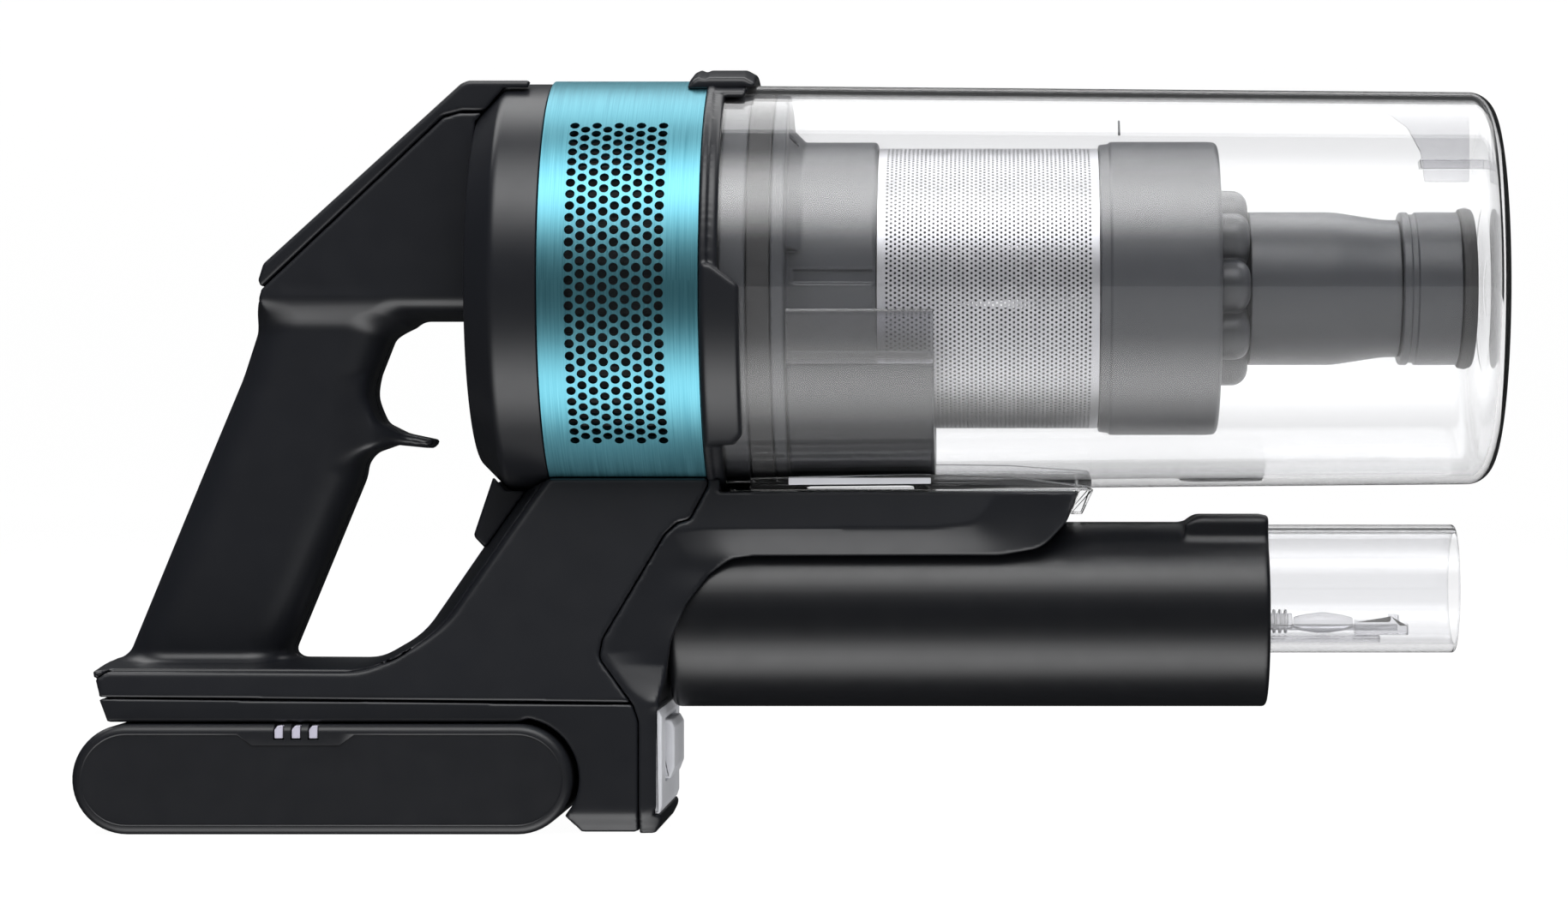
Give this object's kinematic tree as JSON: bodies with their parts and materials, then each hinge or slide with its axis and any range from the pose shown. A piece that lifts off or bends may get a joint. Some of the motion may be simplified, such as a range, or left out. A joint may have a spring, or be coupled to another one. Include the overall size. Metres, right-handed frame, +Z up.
{
  "type": "handheld vacuum",
  "caption": "Cordless handheld vacuum with a pistol grip, slide-off battery, vented motor ring, clear cyclone dust bin and clear nozzle tube.",
  "frame": {"origin": "centre of the object's box, on the surface that its battery and foot stand on", "axes": "+X along the air path towards the nozzle tube, +Y to the left side, +Z up"},
  "size_m": [0.3906, 0.12, 0.2107],
  "materials": {
    "black_plastic": "fine-grained satin black plastic",
    "battery_black": "fine-grained satin black plastic",
    "button_black": "smooth satin black plastic",
    "gloss_black": "polished black plastic window",
    "duct_black": "smooth black plastic with a soft gloss",
    "teal_metal": "teal anodised aluminium, brushed round the ring",
    "dark_grey_plastic": "dark grey satin plastic",
    "pale_grey_plastic": "pale grey satin plastic",
    "rubber": "soft black rubber",
    "filter_foam": "dark grey filter foam and fleece",
    "clear_plastic": "polished clear plastic",
    "steel": "plain steel",
    "mesh_steel": "finely perforated stainless sheet",
    "light_alloy": "machined light alloy",
    "cell_metal": "sleeved battery cells",
    "circuit_board": "green solder mask"
  },
  "bodies": {
    "main_body": {"housing_left": "black_plastic", "housing_right": "black_plastic", "control_panel": "black_plastic", "housing_screw_1": "steel", "housing_screw_2": "steel", "housing_screw_3": "steel", "arm_cover_left": "black_plastic", "arm_cover_right": "black_plastic", "battery_dock": "black_plastic", "display_window": "gloss_black", "control_board": "circuit_board", "rear_cap": "black_plastic", "vent_ring": "teal_metal", "exhaust_filter": "filter_foam", "motor_shell": "steel", "stator": "steel", "motor_bearing_rear": "steel", "motor_bearing_front": "steel", "motor_diffuser": "dark_grey_plastic", "motor_mount_rear": "rubber", "motor_mount_front": "rubber", "collar": "black_plastic", "top_latch": "black_plastic", "front_bracket": "black_plastic", "inlet_gasket": "rubber", "charge_plate": "pale_grey_plastic", "intake_duct": "duct_black", "nozzle_tube": "clear_plastic", "contact_carrier": "clear_plastic", "contact_pin": "steel", "terminal_block": "dark_grey_plastic", "wiring_harness": "rubber", "arm_lug": "black_plastic"},
    "rotor": {"rotor_shaft": "steel", "impeller": "light_alloy"},
    "power_button": {"power_button": "button_black"},
    "plus_button": {"plus_button": "button_black"},
    "minus_button": {"minus_button": "button_black"},
    "release_button": {"battery_release_button": "pale_grey_plastic"},
    "battery": {"battery_case_left": "battery_black", "battery_case_right": "battery_black", "battery_rail": "battery_black", "battery_cells": "cell_metal", "battery_board": "circuit_board", "led_window_1": "clear_plastic", "led_window_2": "clear_plastic", "led_window_3": "clear_plastic"},
    "cyclone": {"cyclone_flange": "dark_grey_plastic", "flange_gasket": "rubber", "pre_filter": "filter_foam", "mesh_shroud": "mesh_steel", "cone_block": "dark_grey_plastic", "cyclone_housing": "dark_grey_plastic", "cone_tips": "dark_grey_plastic", "dust_tube": "dark_grey_plastic", "dust_tube_collar": "dark_grey_plastic", "dust_tube_seal": "rubber", "inlet_guide": "dark_grey_plastic"},
    "bin": {"bin_shell": "clear_plastic"},
    "bin_lever": {"bin_lever": "clear_plastic"}
  },
  "joints": [
    {"name": "rotor_spin", "type": "hinge", "parent": "main_body", "child": "rotor", "pos_m": [-0.05, 0, 0.1498], "axis": [1, 0, 0], "continuous": true},
    {"name": "power_button_press", "type": "slide", "parent": "main_body", "child": "power_button", "axis": [-0.6719, 0, 0.7406], "range_m": [-0.0008, 0], "stiffness_N_per_m": 500, "springref_m": 0.0006},
    {"name": "plus_button_press", "type": "slide", "parent": "main_body", "child": "plus_button", "axis": [-0.6719, 0, 0.7406], "range_m": [-0.0008, 0], "stiffness_N_per_m": 500, "springref_m": 0.0006},
    {"name": "minus_button_press", "type": "slide", "parent": "main_body", "child": "minus_button", "axis": [-0.6719, 0, 0.7406], "range_m": [-0.0008, 0], "stiffness_N_per_m": 500, "springref_m": 0.0006},
    {"name": "release_button_press", "type": "slide", "parent": "main_body", "child": "release_button", "axis": [1, 0, 0], "range_m": [-0.002, 0], "stiffness_N_per_m": 500, "springref_m": 0.001},
    {"name": "battery_slide", "type": "slide", "parent": "main_body", "child": "battery", "axis": [-1, 0, 0], "range_m": [0, 0.15]},
    {"name": "cyclone_slide", "type": "slide", "parent": "main_body", "child": "cyclone", "axis": [1, 0, 0], "range_m": [0, 0.09]},
    {"name": "bin_slide", "type": "slide", "parent": "cyclone", "child": "bin", "axis": [1, 0, 0], "range_m": [0, 0.215]},
    {"name": "bin_lever_pull", "type": "slide", "parent": "bin", "child": "bin_lever", "axis": [1, 0, 0], "range_m": [0, 0.006], "stiffness_N_per_m": 400, "springref_m": -0.001}
  ]
}
